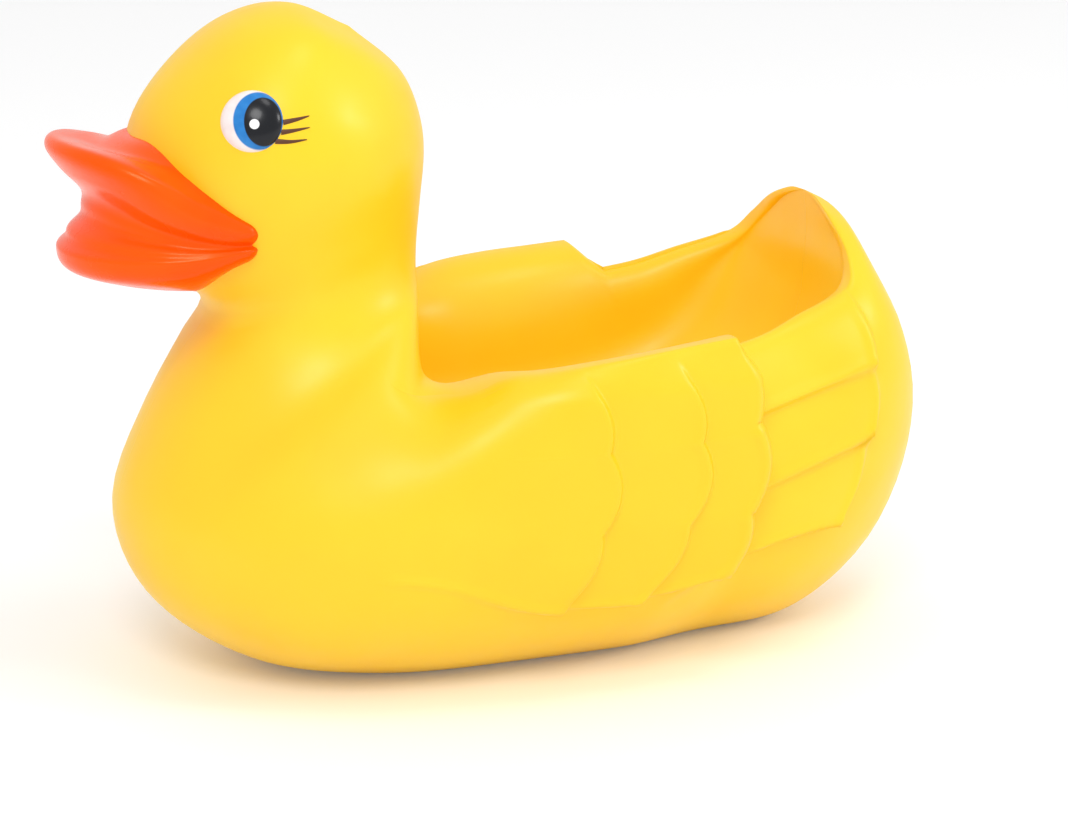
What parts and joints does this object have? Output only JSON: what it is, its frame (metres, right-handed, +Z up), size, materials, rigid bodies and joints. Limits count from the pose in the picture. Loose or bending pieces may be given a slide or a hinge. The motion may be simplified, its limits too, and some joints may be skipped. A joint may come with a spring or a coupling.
{
  "type": "rubber duck",
  "caption": "Bath toy duck moulded in soft vinyl, with a long open tub in its back for carrying small toys, feathered wings, a raised tail lobe and an upturned beak.",
  "frame": {"origin": "middle of the toy's length and width, on the flat of the base", "axes": "+Z up, -Y toward the beak, +Y toward the tail, +X toward the duck's left side"},
  "size_m": [0.1354, 0.2226, 0.1654],
  "materials": {
    "vinyl": "satin moulded vinyl"
  },
  "bodies": {
    "root": {"duck": "vinyl"}
  },
  "joints": []
}
